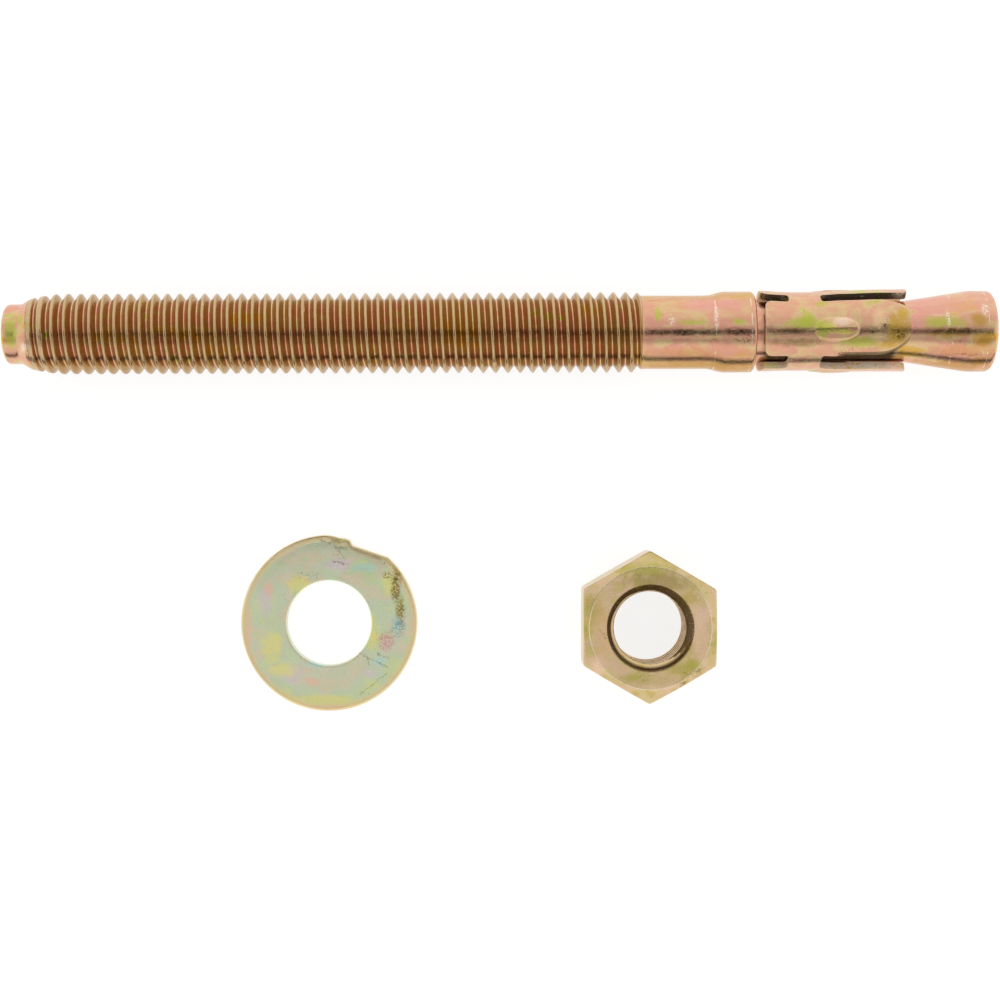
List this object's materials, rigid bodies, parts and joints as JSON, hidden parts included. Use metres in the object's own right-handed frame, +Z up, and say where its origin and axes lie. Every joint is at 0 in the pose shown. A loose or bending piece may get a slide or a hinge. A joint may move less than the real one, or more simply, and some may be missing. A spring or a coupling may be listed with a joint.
{
  "type": "wedge anchor",
  "caption": "Through-bolt expansion anchor with a threaded stud, a turning expansion clip, a flat washer and a hexagon nut laid beside it.",
  "frame": {"origin": "middle of the layout's footprint, on the surface that the pieces lie on", "axes": "+X along the stud towards its expansion cone, +Y from the washer and nut towards the stud, +Z up"},
  "size_m": [0.1192, 0.0513, 0.01],
  "materials": {
    "stud_chromate": "yellow zinc chromate plating, iridescent",
    "clip_chromate": "yellow zinc chromate plating, pink and green tints",
    "washer_chromate": "pale iridescent zinc chromate plating",
    "nut_chromate": "yellow zinc chromate plating, olive"
  },
  "bodies": {
    "stud": {"anchor_stud": "stud_chromate", "flat_washer": "washer_chromate", "hex_nut": "nut_chromate"},
    "clip": {"expansion_clip": "clip_chromate"}
  },
  "joints": [
    {"name": "clip_spin", "type": "hinge", "parent": "stud", "child": "clip", "pos_m": [0.04, 0.0206, 0.0049], "axis": [1, 0, 0], "continuous": true}
  ]
}
